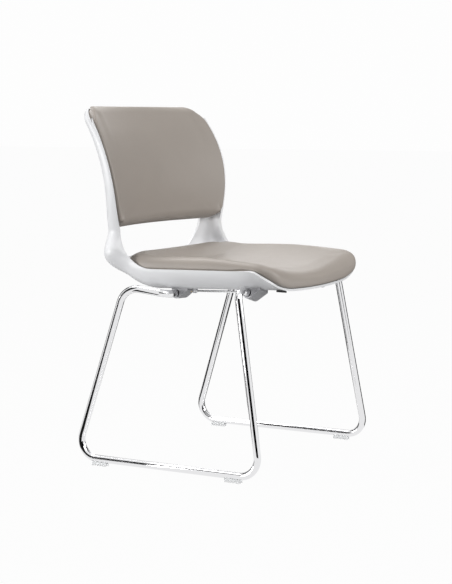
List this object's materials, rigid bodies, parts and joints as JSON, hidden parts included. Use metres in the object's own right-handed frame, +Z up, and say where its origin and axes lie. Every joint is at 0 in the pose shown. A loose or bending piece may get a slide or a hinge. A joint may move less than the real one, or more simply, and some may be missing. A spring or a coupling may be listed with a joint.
{
  "type": "visitor chair",
  "caption": "Stacking visitor chair: moulded shell with an open waist, upholstered seat and back pads, and bent chromed tube side frames on clear floor glides.",
  "frame": {"origin": "on the floor, under the middle of the chair's bounding box", "axes": "+Z up, the sitter faces -Y, +X is the chair's left"},
  "size_m": [0.546, 0.5221, 0.792],
  "materials": {
    "shell": "white moulded plastic, satin",
    "upholstery": "smooth taupe upholstery leather",
    "board": "plywood",
    "frame": "bright chrome",
    "clamp": "light grey moulded plastic",
    "rod": "bright steel",
    "glide": "clear plastic",
    "bumper": "dark grey rubber",
    "screw": "zinc plated",
    "insert": "brass",
    "pin": "black plastic"
  },
  "bodies": {
    "root": {"shell": "shell", "seat_cushion": "upholstery", "seat_board": "board", "back_cushion": "upholstery", "back_board": "board", "side_frame_left": "frame", "side_frame_right": "frame", "front_clamp_left": "clamp", "front_clamp_right": "clamp", "rear_clamp_left": "clamp", "rear_clamp_right": "clamp", "tie_rod_left": "rod", "tie_rod_right": "rod", "glide_front_left": "glide", "glide_front_right": "glide", "glide_rear_left": "glide", "glide_rear_right": "glide", "bumper_left": "bumper", "bumper_right": "bumper", "clamp_screws": "screw", "clamp_inserts": "insert", "tube_set_screws": "screw", "tie_rod_screws": "screw", "seat_screws": "screw", "seat_tee_nuts": "screw", "back_push_pins": "pin"}
  },
  "joints": []
}
